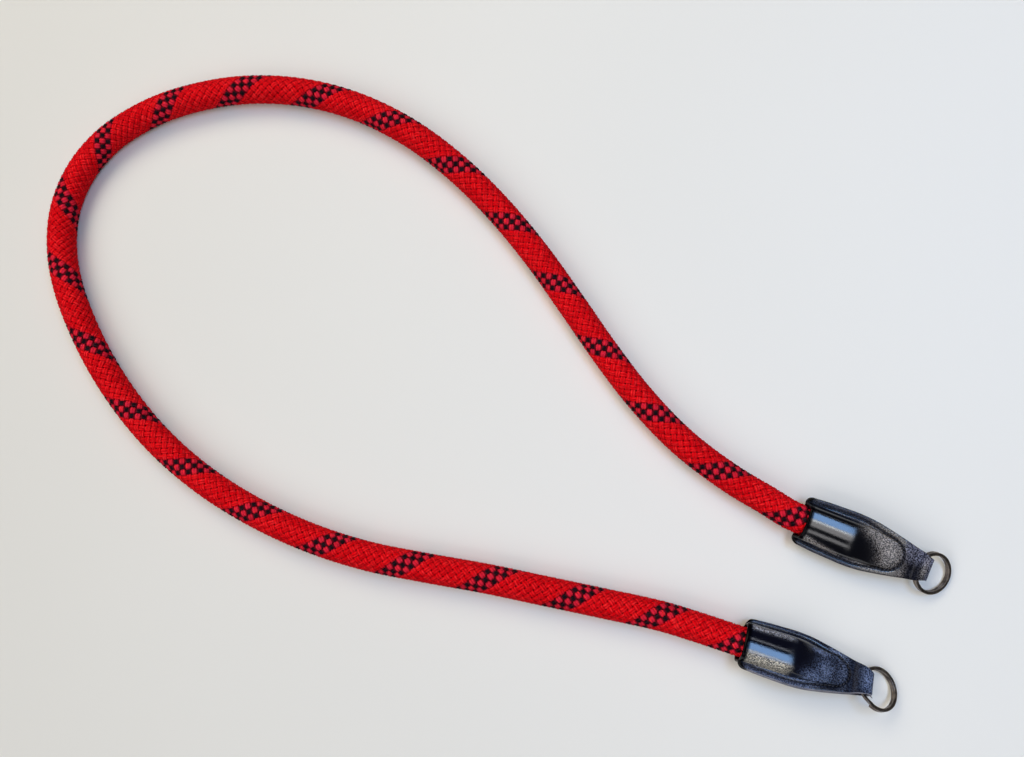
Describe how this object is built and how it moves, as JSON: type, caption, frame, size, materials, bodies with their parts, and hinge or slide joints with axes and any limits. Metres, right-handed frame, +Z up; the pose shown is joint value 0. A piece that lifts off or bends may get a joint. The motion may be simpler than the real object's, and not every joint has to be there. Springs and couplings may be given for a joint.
{
  "type": "camera neck strap",
  "caption": "Round braided rope neck strap lying in an open loop, with a folded leather tab and a split ring at each end.",
  "frame": {"origin": "on the surface the strap lies on, at the middle of the box round the two leather tabs and their rings", "axes": "+Z up from the surface; +X towards the side where the two free ends lie, away from the rope's loop; +Y from the lower tab to the upper tab"},
  "size_m": [0.3389, 0.2391, 0.0143],
  "materials": {
    "rope": "braided red yarn with three black tracer yarns",
    "leather": "glossy black, grained, worn grey on the tongue",
    "ring_metal": "dark plated steel"
  },
  "bodies": {
    "root": {"rope": "rope", "tab_upper": "leather", "tab_lower": "leather", "ring_upper": "ring_metal", "ring_lower": "ring_metal"}
  },
  "joints": []
}
